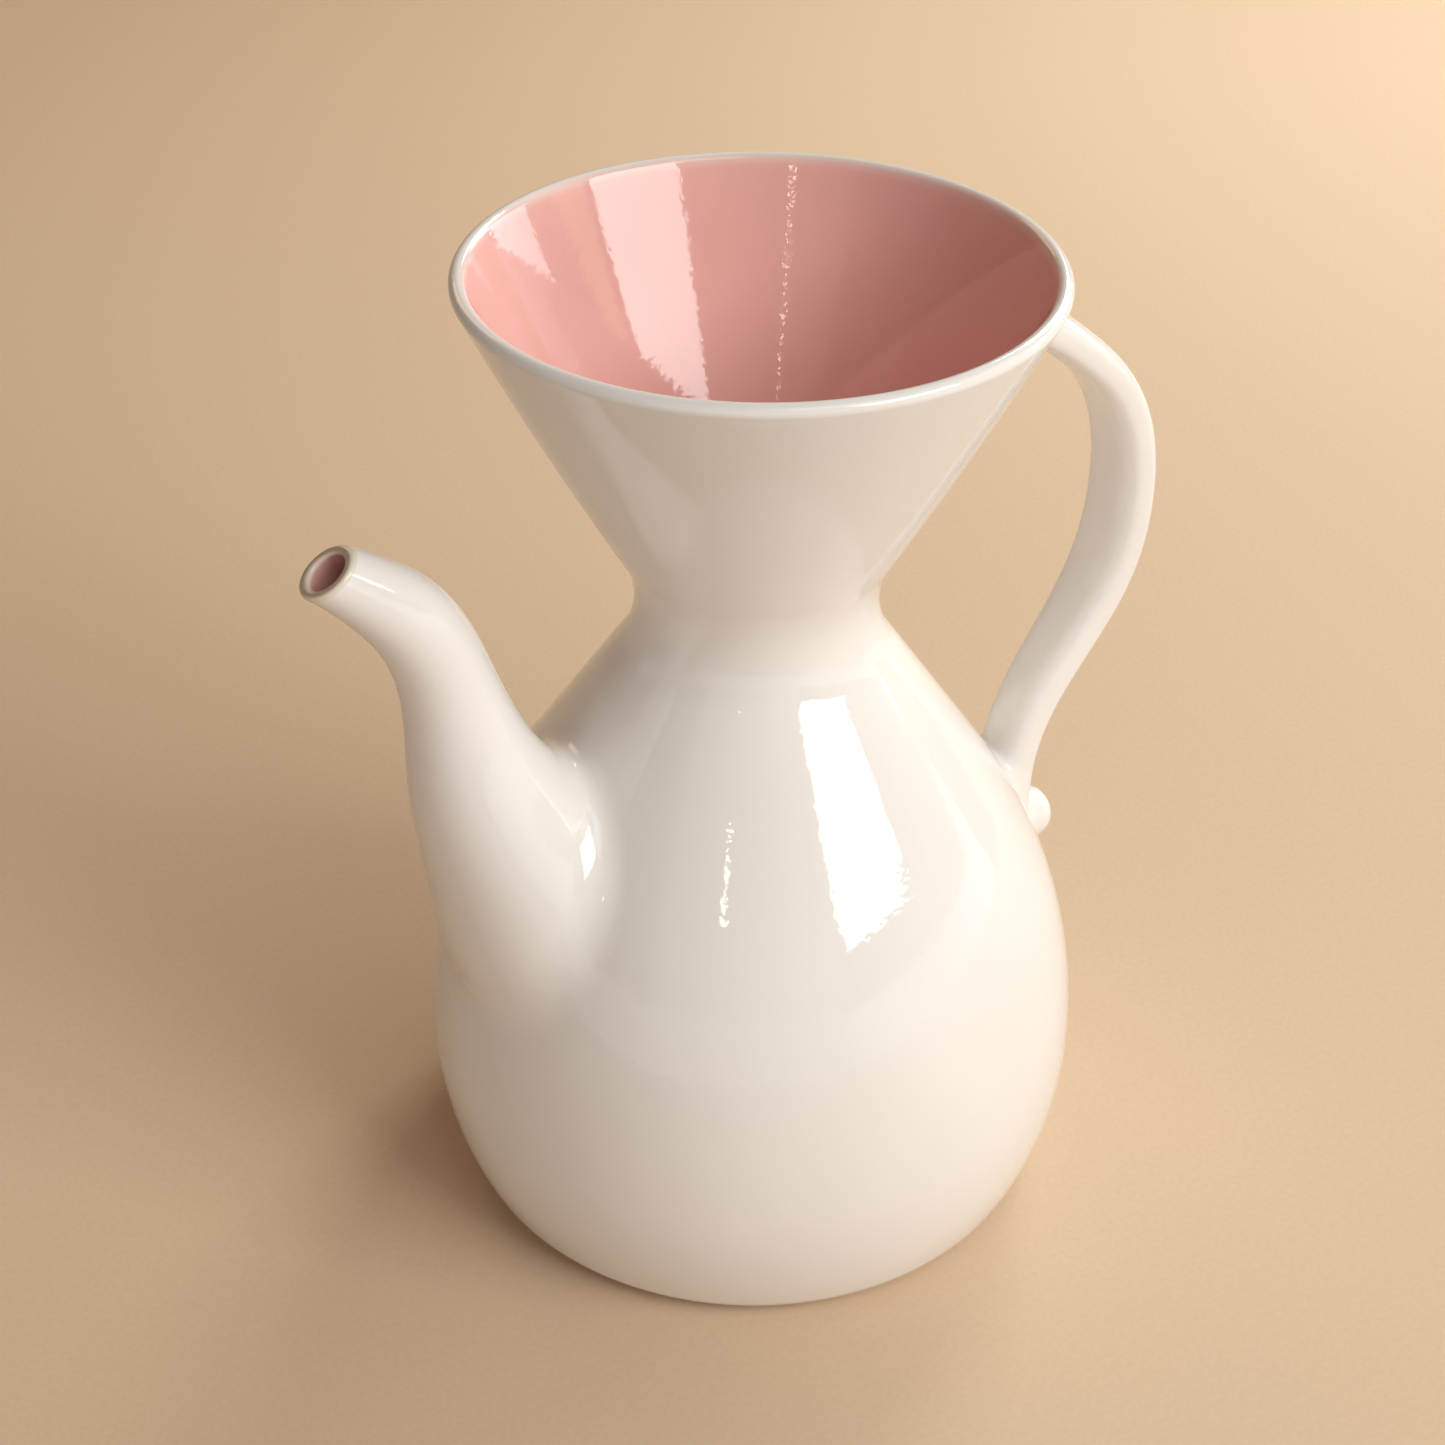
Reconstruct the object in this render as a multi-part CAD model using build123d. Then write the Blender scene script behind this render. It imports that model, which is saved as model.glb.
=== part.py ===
"""Funnel-mouthed pouring pot in white porcelain with a pink lining.

The pot is thrown and cast in several clay pieces, luted together with slip
and glazed. Every clay piece, every seam of slip and each coat of pink glaze
is a solid of its own, and neighbours meet face to face.

Units are millimetres. The origin is on the axis of the pot at the floor,
+Z is up, the spout points along -X and the handle is on +X.
"""
import os
from math import acos, asin, atan2, cos, hypot, pi, radians, sin, sqrt
from build123d import *

# ---- driving dimensions of the turned body ----
total_height = 217.5
mouth_radius = 60.0
lip_radius = 1.7
belly_radius = 72.5
belly_height = 35.2           # height of the widest section
belly_lower_radius = 75.0     # arc of the outline below the widest section
belly_upper_radius = 110.8    # arc of the outline above it
heel_radius = 9.0
heel_gap = 0.6                # the glazed heel stops this far above the floor
waist_radius = 25.5
waist_height = total_height - 72.6
waist_curve_radius = 21.6
funnel_side_radius = 960.0    # the side of the funnel is very slightly full
clay_wall = 3.0
glaze_wall = 0.4
full_wall = clay_wall + glaze_wall
rim_band = 2.0                # straight part of the rim below its round edge
foot_radius = 57.2
foot_width = 6.0
foot_thickness = 1.0

# ---- spout: centre line from the mouth down into the belly, (x, z) ----
spout_line = [(-92.0, 173.6), (-75.8, 158.4), (-68.3, 138.3), (-63.4, 117.2), (-55.0, 96.5), (-47.0, 75.0)]
spout_mouth_rise = 39.0       # degrees above level of the line at the mouth
spout_mouth_cut = 55.0        # degrees above level that the mouth itself faces
spout_tip_radius = 6.2
spout_swell = 0.6             # a slight fullness just behind the mouth
spout_taper = 10.2            # growth of the radius from the mouth to the root
spout_flare = 8.0             # extra growth over the lower half
spout_widening = 0.16         # how much wider than deep the root is
spout_clay = 1.7
spout_wall = spout_clay + glaze_wall
spout_lip_length = 1.2
spout_sections = 14

# ---- handle: centre line from the funnel down onto the belly, (x, z) ----
handle_line = [(47.5, 198.8), (61.5, 194.4), (72.5, 186.6), (81.2, 178.2), (87.0, 168.4), (90.4, 150.0),
               (86.9, 128.2), (77.6, 110.0), (69.8, 95.6), (66.6, 85.5), (65.4, 77.0), (64.0, 69.0)]
handle_half_thick = 4.4
handle_half_wide = 9.3
handle_edge_radius = 3.4
handle_sections = 16
terminal_centre = (72.7, 65.4)
terminal_half_sizes = (5.2, 6.4, 6.0)

# ---- seams of slip: how far each one covers the pieces that it joins ----
spout_seam = 3.0
handle_seam = 2.0


def polar(centre, radius, angle):
    """The point at a distance and an angle (radians) from a centre, in the (r, z) plane."""
    return (centre[0] + radius * cos(angle), centre[1] + radius * sin(angle))


def at(point):
    """A point of the (r, z) half plane as a 3-D point."""
    return (point[0], 0, point[1])


def arc(centre, radius, start, end):
    """An arc in the (r, z) half plane."""
    middle = (start + end) / 2
    return ThreePointArc(at(polar(centre, radius, start)), at(polar(centre, radius, middle)),
                         at(polar(centre, radius, end)))


# ---- fixed centres of the outline: moving the outline inward only changes the radii ----
lower_centre = (belly_radius - belly_lower_radius, belly_height)
upper_centre = (belly_radius - belly_upper_radius, belly_height)
waist_centre = (waist_radius + waist_curve_radius, waist_height)
heel_reach = belly_lower_radius - heel_radius
heel_angle = -asin((belly_height - heel_radius) / heel_reach)
heel_centre = polar(lower_centre, heel_reach, heel_angle)

# ---- shoulder: the line that touches the upper arc and the waist curve ----
gap_x = waist_centre[0] - upper_centre[0]
gap_z = waist_centre[1] - upper_centre[1]
shoulder_normal = atan2(gap_z, gap_x) - acos((belly_upper_radius + waist_curve_radius) / hypot(gap_x, gap_z))

# ---- funnel side: the arc that touches the waist curve and the round lip ----
lip_centre = (mouth_radius - lip_radius, total_height - lip_radius)
rise_x = lip_centre[0] - waist_centre[0]
rise_z = lip_centre[1] - waist_centre[1]
rise_length = hypot(rise_x, rise_z)
waist_reach = funnel_side_radius + waist_curve_radius
lip_reach = funnel_side_radius - lip_radius
side_along = (waist_reach ** 2 - lip_reach ** 2 + rise_length ** 2) / (2 * rise_length)
side_aside = sqrt(waist_reach ** 2 - side_along ** 2)
side_centre = (waist_centre[0] + (side_along * rise_x - side_aside * rise_z) / rise_length,
               waist_centre[1] + (side_along * rise_z + side_aside * rise_x) / rise_length)
side_low = atan2(waist_centre[1] - side_centre[1], waist_centre[0] - side_centre[0])
side_high = atan2(lip_centre[1] - side_centre[1], lip_centre[0] - side_centre[0])
waist_start = shoulder_normal + pi
waist_end = side_low + pi


def funnel_edge(inset, along):
    """A point of the funnel side, this far inside the outline and this far down the slope from the lip."""
    return polar(side_centre, funnel_side_radius - inset, side_high - along / funnel_side_radius)


def funnel_side(inset, along):
    """The slightly full side of the funnel, from the waist up to a level below the lip."""
    return [arc(side_centre, funnel_side_radius - inset, side_low, side_high - along / funnel_side_radius)]


def body_side(inset):
    """The outline from the heel to the waist curve, moved inward by the inset."""
    top_of_arc = polar(upper_centre, belly_upper_radius - inset, shoulder_normal)
    foot_of_waist = polar(waist_centre, waist_curve_radius + inset, waist_start)
    return [arc(lower_centre, belly_lower_radius - inset, heel_angle, 0),
            arc(upper_centre, belly_upper_radius - inset, 0, shoulder_normal),
            Line(at(top_of_arc), at(foot_of_waist))]


def heel(inset, start=-pi / 2):
    """The small arc between the floor and the side."""
    return [arc(heel_centre, heel_radius - inset, start, heel_angle)]


def waist_curve(inset):
    """The hollow curve between the shoulder and the funnel."""
    return [arc(waist_centre, waist_curve_radius + inset, waist_start, waist_end)]


def back(run):
    """The same run of edges, travelled the other way."""
    flipped = []
    for edge in reversed(run):
        if edge.geom_type == GeomType.LINE:
            flipped.append(Line(edge @ 1, edge @ 0))
        else:
            flipped.append(ThreePointArc(edge @ 1, edge @ 0.5, edge @ 0))
    return flipped


def turned(*runs):
    """A solid of revolution from runs of edges, with straight lines across the gaps between them."""
    edges = []
    for run in runs:
        if edges and (run[0] @ 0 - edges[-1] @ 1).length > 1e-6:
            edges.append(Line(edges[-1] @ 1, run[0] @ 0))
        edges += run
    if (edges[0] @ 0 - edges[-1] @ 1).length > 1e-6:
        edges.append(Line(edges[-1] @ 1, edges[0] @ 0))
    return revolve(make_face(edges), Axis.Z, 360)


def body_outline_solid(grow):
    """Everything inside the outline of the turned body, grown by this much."""
    top = at(funnel_edge(-grow, 0))
    under = Line((0, 0, -grow), at(polar(heel_centre, heel_radius + grow, -pi / 2)))
    cover = Line(top, (0, 0, top[2]))
    return turned([under], heel(-grow), body_side(-grow), waist_curve(-grow), funnel_side(-grow, 0), [cover])


# ---- turned pieces ----
def make_foot_ring():
    """The bare ring of clay that the pot stands on."""
    ring = Cylinder(foot_radius, foot_thickness) - Cylinder(foot_radius - foot_width, foot_thickness)
    return Pos(0, 0, foot_thickness / 2) * ring


def make_belly():
    """The round body with its shoulder, open at the waist."""
    foot_step = [Line((0, 0, foot_thickness), (foot_radius, 0, foot_thickness)),
                 Line((foot_radius, 0, foot_thickness), (foot_radius, 0, heel_gap))]
    heel_start = asin((heel_gap - heel_centre[1]) / heel_radius)
    floor_edge = at(polar(heel_centre, heel_radius - clay_wall, -pi / 2))
    inner_floor = [Line(floor_edge, (0, 0, clay_wall))]
    return turned(foot_step, heel(0, heel_start), body_side(0), back(body_side(clay_wall)),
                  back(heel(clay_wall)), inner_floor)


def make_belly_lining():
    """The coat of pink glaze inside the belly and the waist."""
    low_outer = at(polar(heel_centre, heel_radius - clay_wall, -pi / 2))
    low_inner = at(polar(heel_centre, heel_radius - full_wall, -pi / 2))
    return turned([Line((0, 0, clay_wall), low_outer)], heel(clay_wall), body_side(clay_wall),
                  waist_curve(clay_wall), back(waist_curve(full_wall)), back(body_side(full_wall)),
                  back(heel(full_wall)), [Line(low_inner, (0, 0, full_wall))])


def make_waist_luting():
    """The ring of slip that joins the shoulder to the funnel."""
    return turned(waist_curve(0), back(waist_curve(clay_wall)))


def make_funnel():
    """The conical mouth, up to the rim."""
    return turned(funnel_side(0, rim_band), back(funnel_side(clay_wall, rim_band)))


def make_funnel_lining():
    """The coat of pink glaze inside the funnel."""
    return turned(funnel_side(clay_wall, rim_band), back(funnel_side(full_wall, rim_band)))


def make_rim():
    """The rolled rim: a short band with a full round edge."""
    band_low = side_high - rim_band / funnel_side_radius
    edge = arc(lip_centre, lip_radius, side_high, side_high + pi)
    outside = arc(side_centre, funnel_side_radius, band_low, side_high)
    inside = arc(side_centre, funnel_side_radius - full_wall, side_high, band_low)
    return turned([outside], [edge], [inside])


# ---- spout ----
def spout_path():
    """The centre line of the spout."""
    rise = radians(spout_mouth_rise)
    first = (cos(rise), 0, -sin(rise))
    last = (spout_line[-1][0] - spout_line[-2][0], 0, spout_line[-1][1] - spout_line[-2][1])
    return Spline(*[at(point) for point in spout_line], tangents=[first, last])


def flare_part(share):
    """How much of the root's flare there is at a share of the centre line's length."""
    return min(max(0.0, share / 0.8 - 0.5) / 0.5, 1.0) ** 1.4


def spout_radius(share):
    """The outer radius at a share of the centre line's length."""
    swell = spout_swell * sin(pi * min(max(share, 0) / 0.35, 1))
    return spout_tip_radius + swell + spout_taper * share + spout_flare * flare_part(share)


def spout_tube(inset):
    """A solid tube along the spout's centre line, with its surface this far inside the outside."""
    path = spout_path()
    beyond = path @ 0 - spout_tip_radius * (path % 0)
    rings = [Plane(origin=beyond, x_dir=(0, 1, 0), z_dir=path % 0) * Circle(spout_tip_radius - inset)]
    for step in range(spout_sections + 1):
        share = step / spout_sections
        place = Plane(origin=path @ share, x_dir=(0, 1, 0), z_dir=path % share)
        deep = spout_radius(share)
        wide = deep * (1 + spout_widening * flare_part(share))
        if wide > deep:
            rings.append(place * Ellipse(wide - inset, deep - inset))
        else:
            rings.append(place * Circle(deep - inset))
    return loft(rings)


def mouth_slice(start, end):
    """The slice of space between two depths behind the slanting cut of the mouth."""
    cut = radians(spout_mouth_cut)
    place = Plane(origin=at(spout_line[0]), x_dir=(0, 1, 0), z_dir=(cos(cut), 0, -sin(cut)))
    slab = Pos(0, 0, (start + end) / 2) * Cylinder(2 * spout_tip_radius, end - start)
    return place.location * slab


def beyond_glaze():
    """The space of the bare lip and everything in front of the mouth."""
    return mouth_slice(-3 * spout_tip_radius, spout_lip_length)


def make_spout(body, outer, middle):
    """The tapering clay spout, open into the belly."""
    return outer - middle - body - beyond_glaze()


def make_spout_lip(outer, inner):
    """The bare rounded lip at the mouth of the spout."""
    lip = (outer - inner) & mouth_slice(0, spout_lip_length)
    cut = radians(spout_mouth_cut)
    mouth_face = lip.faces().sort_by(Axis(origin=(0, 0, 0), direction=(cos(cut), 0, -sin(cut))))[0]
    return fillet(mouth_face.edges(), 0.6)


def make_spout_lining(body, middle, inner):
    """The coat of pink glaze inside the spout."""
    return middle - inner - body - beyond_glaze()


def make_spout_luting(body, grown_body, outer, inner):
    """The collar of slip around the root of the spout."""
    collar = (spout_tube(-spout_seam) & grown_body) - body - outer
    return collar - inner


# ---- handle ----
def handle_path():
    """The centre line of the handle."""
    return Spline(*[at(point) for point in handle_line])


def handle_strap(grow):
    """The flattened strap of the handle, grown by this much all round."""
    path = handle_path()
    rings = []
    for step in range(handle_sections + 1):
        share = step / handle_sections
        place = Plane(origin=path @ share, x_dir=(0, 1, 0), z_dir=path % share)
        section = RectangleRounded(2 * (handle_half_wide + grow), 2 * (handle_half_thick + grow),
                                   handle_edge_radius + grow)
        rings.append(place * section)
    return loft(rings)


def make_terminal(body, strap, seam):
    """The small round knob that ends the handle."""
    knob = Pos(terminal_centre[0], 0, terminal_centre[1]) * scale(Sphere(1), by=terminal_half_sizes)
    return knob - body - strap - seam


def largest(shape):
    """The largest solid of a shape, without slivers left by cutting."""
    return shape.solids().sort_by(SortBy.VOLUME)[-1]


def make_pieces():
    """Every named piece of the pot."""
    body = body_outline_solid(0)
    tube = spout_tube(0)
    tube_inside_clay = spout_tube(spout_clay)
    passage = spout_tube(spout_wall)
    strap = handle_strap(0)
    seams = (handle_strap(handle_seam) & body_outline_solid(handle_seam)) - body - strap
    halves = seams.solids().sort_by(Axis.Z)
    upper_seam = halves[-1]
    lower_seam = halves[0]
    return {
        "foot_ring": make_foot_ring(),
        "belly": make_belly() - passage,
        "belly_lining": make_belly_lining() - passage,
        "waist_luting": make_waist_luting(),
        "funnel": make_funnel(),
        "funnel_lining": make_funnel_lining(),
        "rim": make_rim(),
        "spout": largest(make_spout(body, tube, tube_inside_clay)),
        "spout_lip": make_spout_lip(tube, passage),
        "spout_lining": largest(make_spout_lining(body, tube_inside_clay, passage)),
        "spout_luting": largest(make_spout_luting(body, body_outline_solid(spout_seam), tube, passage)),
        "handle": largest(strap - body),
        "handle_upper_luting": upper_seam,
        "handle_lower_luting": lower_seam,
        "handle_terminal": largest(make_terminal(body, strap, lower_seam)),
    }


os.makedirs("parts", exist_ok=True)
for name, piece in make_pieces().items():
    export_step(piece, f"parts/{name}.step")
    box = piece.bounding_box()
    print(f"{name:22s} solids {len(piece.solids())} volume {piece.volume:10.1f} "
          f"z {box.min.Z:7.2f} to {box.max.Z:7.2f}")
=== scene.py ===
from math import acos, asin, atan2, cos, hypot, pi, radians, sin, sqrt, tan

import bpy
import numpy as np
from mathutils import Matrix, Vector


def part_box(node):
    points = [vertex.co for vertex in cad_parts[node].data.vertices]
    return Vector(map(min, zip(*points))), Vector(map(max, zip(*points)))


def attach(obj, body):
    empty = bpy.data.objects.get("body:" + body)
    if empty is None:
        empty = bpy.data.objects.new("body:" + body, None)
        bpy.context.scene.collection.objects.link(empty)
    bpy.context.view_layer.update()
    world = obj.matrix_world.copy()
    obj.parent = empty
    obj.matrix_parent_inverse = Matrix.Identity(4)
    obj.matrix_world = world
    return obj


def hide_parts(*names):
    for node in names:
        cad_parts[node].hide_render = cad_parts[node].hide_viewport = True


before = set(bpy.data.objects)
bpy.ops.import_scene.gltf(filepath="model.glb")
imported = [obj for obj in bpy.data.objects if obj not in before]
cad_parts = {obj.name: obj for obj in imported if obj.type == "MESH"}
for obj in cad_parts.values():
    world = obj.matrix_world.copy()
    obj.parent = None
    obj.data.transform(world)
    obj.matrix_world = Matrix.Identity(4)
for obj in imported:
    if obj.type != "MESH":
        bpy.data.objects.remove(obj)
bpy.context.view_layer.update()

# Porcelain pouring pot: a conical mouth on a narrow waist and a round belly, a curved
# spout on the -X side and a strap handle on the +X side. Shapes are worked out in
# millimetres, in the frame of the CAD model, and become metres when a mesh is made.

MM = 0.001


def box_top(node):
    """The highest corner of a CAD node's box, in millimetres."""
    return np.array(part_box(node)[1]) / MM


# ---- driving dimensions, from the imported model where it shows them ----
total_height = box_top("rim")[2]
mouth_radius = box_top("rim")[0]
belly_radius = box_top("belly")[0]
foot_radius = box_top("foot_ring")[0]
foot_thickness = box_top("foot_ring")[2]
foot_width = 6.0
foot_edge = 0.4               # the foot ring's outer edge is a little rounded
lip_radius = 1.7
belly_height = 35.2           # height of the widest section
belly_lower_radius = 75.0     # arc of the outline below the widest section
belly_upper_radius = 110.8    # arc of the outline above it
heel_radius = 9.0
heel_gap = 0.6                # the glazed heel stops this far above the floor
waist_radius = 25.5
waist_drop = 72.6             # from the rim down to the narrowest section
waist_height = total_height - waist_drop
waist_curve_radius = 21.6
funnel_side_radius = 960.0    # the side of the funnel is very slightly full
clay_wall = 3.0
full_wall = 3.4               # clay and the coat of pink glaze on it
rim_band = 2.0                # height of the rim below its round edge
around = 256                  # divisions round the turned pieces

# ---- spout, (x, z) from the mouth down into the belly ----
spout_line = [(-92.0, 173.6), (-75.8, 158.4), (-68.3, 138.3), (-63.4, 117.2), (-55.0, 96.5), (-47.0, 75.0)]
spout_mouth_rise = 39.0       # degrees above level of the line at the mouth
spout_mouth_cut = 55.0        # degrees above level that the mouth itself faces
spout_tip_radius = 6.2
spout_cut_reach = 0.16        # share of the line over which the rings lean over to that cut
spout_swell = 0.6             # a slight fullness just behind the mouth
spout_swell_reach = 0.35      # share of the line where the fullness ends
spout_taper = 10.2            # growth of the radius from the mouth to the root
spout_flare = 8.0             # extra growth towards the root
spout_flare_start = 0.35      # share of the line where the flare begins
spout_flare_reach = 0.6       # share of the line that the flare takes
spout_widening = 0.16         # how much wider than deep the root is
spout_wall = 2.1              # clay and the coat of pink glaze on it
spout_clay = 1.7
spout_lip_length = 1.2
spout_blends = (4.0, 7.5)     # how far the root runs out into the belly, at its foot and at its top
spout_root_heights = (72.0, 116.0)   # heights of that foot and that top
spout_bore_end = 0.95         # share of the line where the bore ends, inside the belly
spout_lining_end = 0.94       # share of the line where the bore's coat of glaze ends
spout_sink = 1.5              # how deep the spout's mesh goes into the wall
spout_columns = 160           # divisions round the spout

# ---- handle, (x, z) from the funnel down onto the belly ----
handle_line = [(47.5, 198.8), (61.5, 194.4), (72.5, 186.6), (81.2, 178.2), (87.0, 168.4), (90.4, 150.0),
               (86.9, 128.2), (77.0, 110.0), (69.2, 95.6), (66.2, 85.5), (65.4, 77.0), (65.0, 69.0)]
handle_half_thick = 4.4
handle_half_wide = 9.3
handle_narrowing = 0.2        # how much narrower the strap is at its lower end
handle_narrowing_start = 0.45  # share of the line where it begins to narrow
handle_narrowing_reach = 0.4  # share of the line over which it narrows
handle_squareness = 2.9       # 2 is an ellipse, more is squarer
handle_blend = 5.0            # how far the handle's ends run out into the body
handle_dip = 0.05             # how far the blend ends under the body's skin, so that no edge shows
handle_sink = 1.8             # how deep the handle's mesh goes into the wall
handle_trim = 5.5             # how far from the handle its mesh is cut off, under the body's skin
knob_centre = (72.7, 65.4)
knob_half_sizes = (5.2, 6.4, 6.0)
knob_blend = 5.0
handle_box_low = (44.0, 52.0)     # (x, z) corners of a box round the handle
handle_box_high = (97.0, 208.0)
net_step = 0.7                # size of the squares of the handle's mesh

# ---- camera, in degrees and metres ----
camera_azimuth = -28.0
camera_distance = 0.4651      # from the axis of the pot
camera_above_rim = 0.2055
camera_pitch = 33.78          # below level
camera_pan = -0.855
camera_roll = 0.303
camera_lens = 65.0            # millimetres, on a 36 mm sensor
light_aim = 0.1               # height on the pot that the lights are aimed at

# ---- surface of the glaze: waves to the metre, and depths in metres ----
wave_scale = 30.0
wave_depth = 6e-5
peel_scale = 600.0
peel_depth = 2.6e-5

# ---- colours: each glaze, clay and paper varies between a darker and a lighter tint ----
white_tints = ((0.80, 0.77, 0.745), (0.83, 0.805, 0.785))
pink_tints = ((0.76, 0.41, 0.375), (0.80, 0.44, 0.405))
clay_tints = ((0.44, 0.36, 0.26), (0.54, 0.46, 0.35))
floor_tints = ((0.655, 0.49, 0.345), (0.685, 0.52, 0.37))
room_colour = (1.0, 0.76, 0.55)
rim_tints = ((0.78, 0.43, 0.39), (0.79, 0.60, 0.56), (0.81, 0.79, 0.77))
rim_pink_edge = 1.9           # how far inward from the crown of the lip the pink is full
rim_white_edge = 0.1          # how far inward from there the white is full
# the last mouth tint, cream at the outer edge of the spout's lip, is a painted highlight line
mouth_tints_and_painted_highlight = ((0.74, 0.60, 0.55), (0.50, 0.41, 0.30), (0.46, 0.38, 0.27), (0.74, 0.68, 0.58))


# ------------------------------------------------------------------ outline of the turned body
def unit(angle):
    """The direction at an angle in the (r, z) plane, in radians."""
    return np.stack([np.cos(angle), np.sin(angle)], -1)


def polar(centre, radius, angle):
    """The point at a distance and an angle from a centre."""
    return np.array(centre) + radius * unit(angle)


class Arc:
    """An arc of the outline in the (r, z) plane. The body is inside it, or outside it where side is -1."""

    def __init__(self, centre, radius, start, end, side=1):
        self.centre = np.array(centre)
        self.radius = radius
        self.start = start
        self.end = end
        self.side = side

    def run(self, inset=0.0, count=20):
        """Rows of points and outward normals, for the outline moved inward."""
        out = unit(np.linspace(self.start, self.end, count))
        return np.hstack([self.centre + (self.radius - self.side * inset) * out, self.side * out])

    def part(self, start, end):
        """A shorter piece of the same arc."""
        return Arc(self.centre, self.radius, start, end, self.side)

    def nearest(self, r, z):
        """Signed distances of points from the arc, with the outward normals there."""
        middle = (self.start + self.end) / 2
        half = abs(self.end - self.start) / 2
        x, y = r - self.centre[0], z - self.centre[1]
        turn = (np.arctan2(y, x) - middle + pi) % (2 * pi) - pi
        angle = middle + np.clip(turn, -half, half)
        normal_r, normal_z = self.side * np.cos(angle), self.side * np.sin(angle)
        gap_r = x - self.radius * np.cos(angle)
        gap_z = y - self.radius * np.sin(angle)
        sign = np.where(gap_r * normal_r + gap_z * normal_z < 0, -1.0, 1.0)
        return sign * np.hypot(gap_r, gap_z), normal_r, normal_z


def line_run(start, end, count, normal=None):
    """Points and normals along a straight line; the normal is on its right unless it is given."""
    start, end = np.array(start, float), np.array(end, float)
    along = (end - start) / np.linalg.norm(end - start)
    across = np.array([along[1], -along[0]]) if normal is None else np.array(normal)
    share = np.linspace(0, 1, count)[:, None]
    return np.hstack([start + (end - start) * share, np.tile(across, (count, 1))])


def inward(run):
    """The same run travelled the other way, as the inside of a wall."""
    return run[::-1] * np.array([1, 1, -1, -1])


def angle_of(vector):
    """The angle of a direction in the (r, z) plane."""
    return atan2(vector[1], vector[0])


# ---- centres of the arcs: each arc touches its neighbours, or the straight shoulder between them ----
lower_centre = (belly_radius - belly_lower_radius, belly_height)
upper_centre = (belly_radius - belly_upper_radius, belly_height)
waist_centre = np.array([waist_radius + waist_curve_radius, waist_height])
heel_reach = belly_lower_radius - heel_radius
heel_angle = -asin((belly_height - heel_radius) / heel_reach)
heel_centre = polar(lower_centre, heel_reach, heel_angle)
waist_offset = waist_centre - upper_centre
shoulder_lean = acos((belly_upper_radius + waist_curve_radius) / hypot(*waist_offset))
shoulder_normal = angle_of(waist_offset) - shoulder_lean
lip_centre = np.array([mouth_radius - lip_radius, total_height - lip_radius])


def funnel_side_centre():
    """The centre of the arc that touches both the waist curve and the round lip."""
    base = lip_centre - waist_centre
    length = hypot(*base)
    to_waist = funnel_side_radius + waist_curve_radius
    to_lip = funnel_side_radius - lip_radius
    along = (to_waist ** 2 - to_lip ** 2 + length ** 2) / (2 * length)
    aside = sqrt(to_waist ** 2 - along ** 2)
    return waist_centre + (along * base + aside * np.array([-base[1], base[0]])) / length


side_centre = funnel_side_centre()
side_low = angle_of(waist_centre - side_centre)
side_high = angle_of(lip_centre - side_centre)
band_start = side_high - rim_band / funnel_side_radius   # the rim begins here on the side's arc

heel = Arc(heel_centre, heel_radius, -pi / 2, heel_angle)
lower_belly = Arc(lower_centre, belly_lower_radius, heel_angle, 0)
upper_belly = Arc(upper_centre, belly_upper_radius, 0, shoulder_normal)
waist = Arc(waist_centre, waist_curve_radius, shoulder_normal + pi, side_low + pi, -1)
funnel_side = Arc(side_centre, funnel_side_radius, side_low, side_high)
lip = Arc(lip_centre, lip_radius, side_high, side_high + pi)
shoulder_low = polar(upper_centre, belly_upper_radius, shoulder_normal)
shoulder_high = polar(waist_centre, waist_curve_radius, shoulder_normal + pi)


def body_distance(x, y, z):
    """Signed distance of points from the outside of the turned body, and the outward direction there."""
    r = np.hypot(x, y)
    z = z + 0 * r
    r = r + 0 * z
    along = unit(shoulder_normal + pi / 2)
    out = unit(shoulder_normal)
    length = np.linalg.norm(shoulder_high - shoulder_low)
    step = (r - shoulder_low[0]) * along[0] + (z - shoulder_low[1]) * along[1]
    beside = (r - shoulder_low[0]) * out[0] + (z - shoulder_low[1]) * out[1]
    past = step - np.clip(step, 0, length)
    distance = np.where(beside < 0, -1.0, 1.0) * np.hypot(beside, past)
    normal_r, normal_z = np.full_like(r, out[0]), np.full_like(r, out[1])
    for arc in (heel, lower_belly, upper_belly, waist, funnel_side):
        other, other_r, other_z = arc.nearest(r, z)
        nearer = np.abs(other) < np.abs(distance)
        distance = np.where(nearer, other, distance)
        normal_r = np.where(nearer, other_r, normal_r)
        normal_z = np.where(nearer, other_z, normal_z)
    r = np.maximum(r, 1e-9)
    return distance, np.stack([normal_r * x / r, normal_r * y / r, normal_z], -1)


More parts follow.
